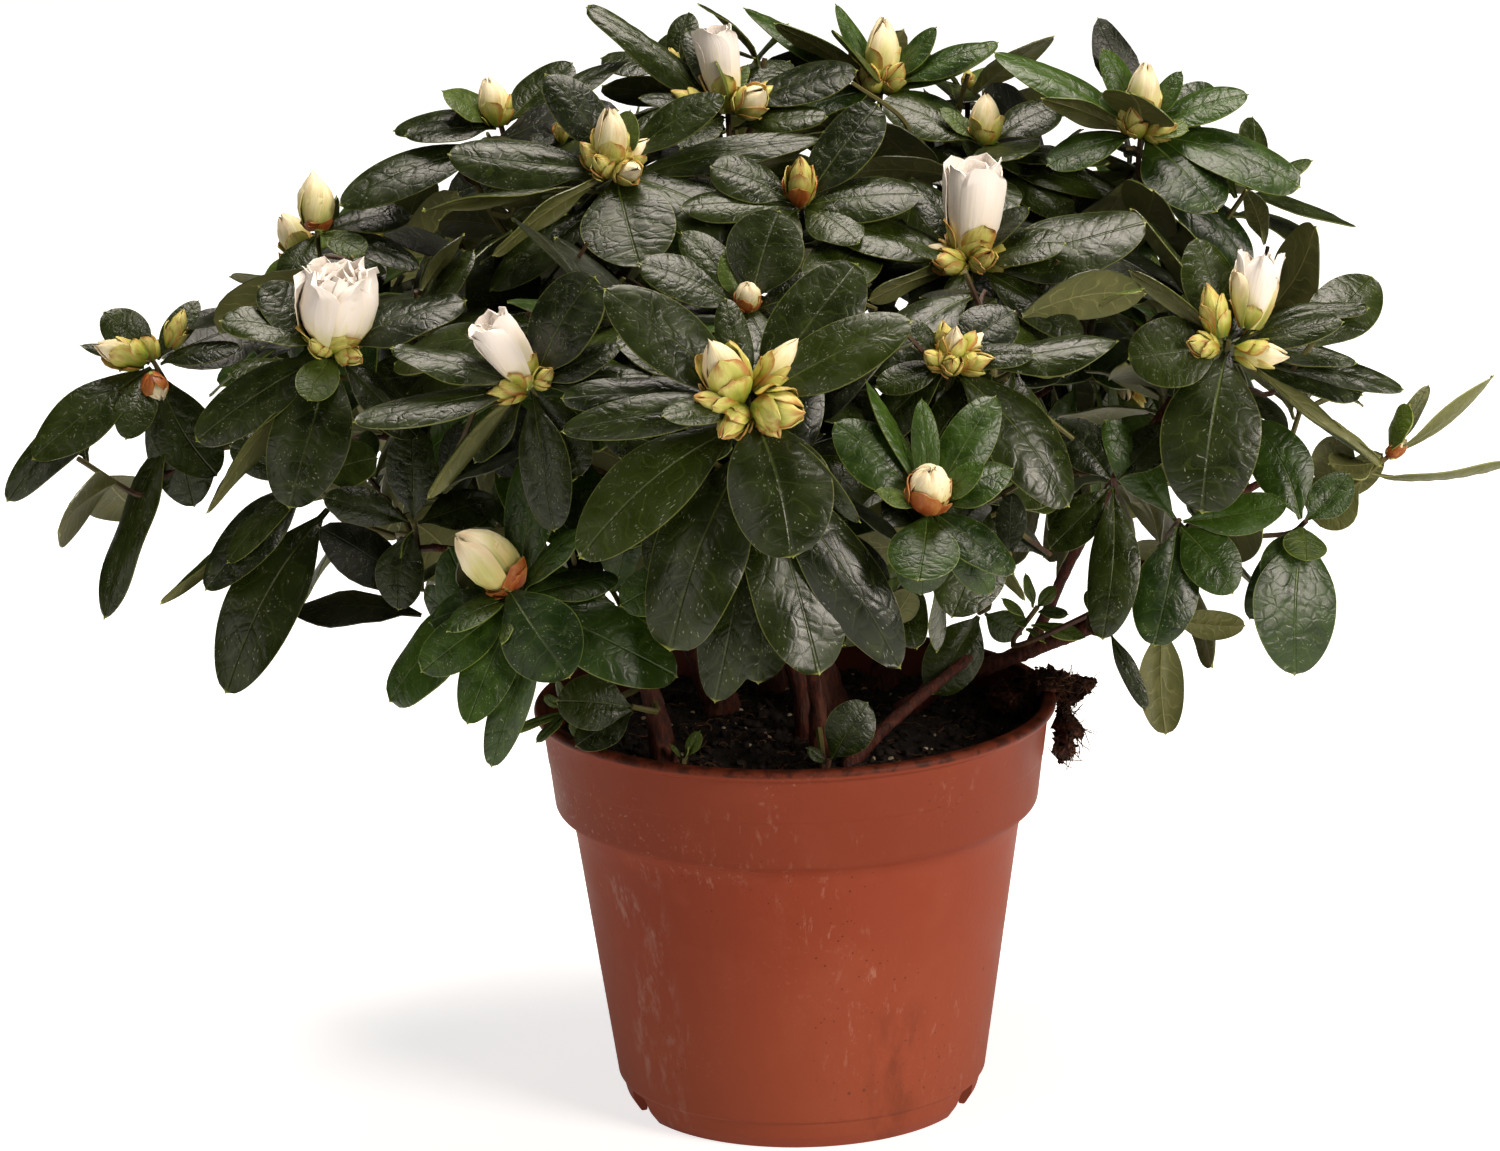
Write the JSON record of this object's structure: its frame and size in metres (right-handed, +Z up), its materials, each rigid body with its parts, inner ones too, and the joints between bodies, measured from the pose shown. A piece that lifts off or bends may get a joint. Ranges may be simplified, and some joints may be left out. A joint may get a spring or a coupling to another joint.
{
  "type": "potted azalea shrub",
  "caption": "Bushy azalea with a broad domed crown of dark oval leaves and opening white buds, on several low stems in a tapered plastic nursery pot.",
  "frame": {"origin": "on the pot's axis, at the middle of its flat underside, where it stands on the ground", "axes": "+Z up along the pot's axis; +X along the crown's widest spread, to the right as seen from the front; the front faces -Y"},
  "size_m": [0.398, 0.2923, 0.2986],
  "materials": {
    "pot_plastic": "satin",
    "peat": "matte",
    "bark": "matte",
    "leaf": "satin"
  },
  "bodies": {
    "root": {"pot": "pot_plastic", "root_ball": "peat", "peat_clump": "peat", "stem_back": "bark", "stem_front": "bark", "stem_left": "bark", "stem_left_back": "bark", "stem_main": "bark", "stem_pruned": "bark", "stem_right": "bark", "stem_right_back": "bark", "stem_thin": "bark", "bough_back_centre_left": "bark", "bough_back_centre_right": "bark", "bough_back_left": "bark", "bough_back_low": "bark", "bough_back_low_left": "bark", "bough_back_low_right": "bark", "bough_back_right": "bark", "bough_front_centre": "bark", "bough_front_left": "bark", "bough_front_right": "bark", "bough_left_lower": "bark", "bough_left_wing": "bark", "bough_low_left": "bark", "bough_low_right": "bark", "bough_right_lower": "bark", "bough_right_wing": "bark", "bough_top_back": "bark", "bough_top_centre": "bark", "bough_top_front": "bark", "bough_top_left": "bark", "bough_top_right": "bark", "bough_upper_left": "bark", "bough_upper_right": "bark", "leaves_back_centre_left": "leaf", "leaves_back_centre_right": "leaf", "leaves_back_left": "leaf", "leaves_back_low": "leaf", "leaves_back_low_left": "leaf", "leaves_back_low_right": "leaf", "leaves_back_right": "leaf", "leaves_front_centre": "leaf", "leaves_front_left": "leaf", "leaves_front_right": "leaf", "leaves_left_lower": "leaf", "leaves_left_wing": "leaf", "leaves_low_left": "leaf", "leaves_low_right": "leaf", "leaves_right_lower": "leaf", "leaves_right_wing": "leaf", "leaves_top_back": "leaf", "leaves_top_centre": "leaf", "leaves_top_front": "leaf", "leaves_top_left": "leaf", "leaves_top_right": "leaf", "leaves_upper_left": "leaf", "leaves_upper_right": "leaf"}
  },
  "joints": []
}
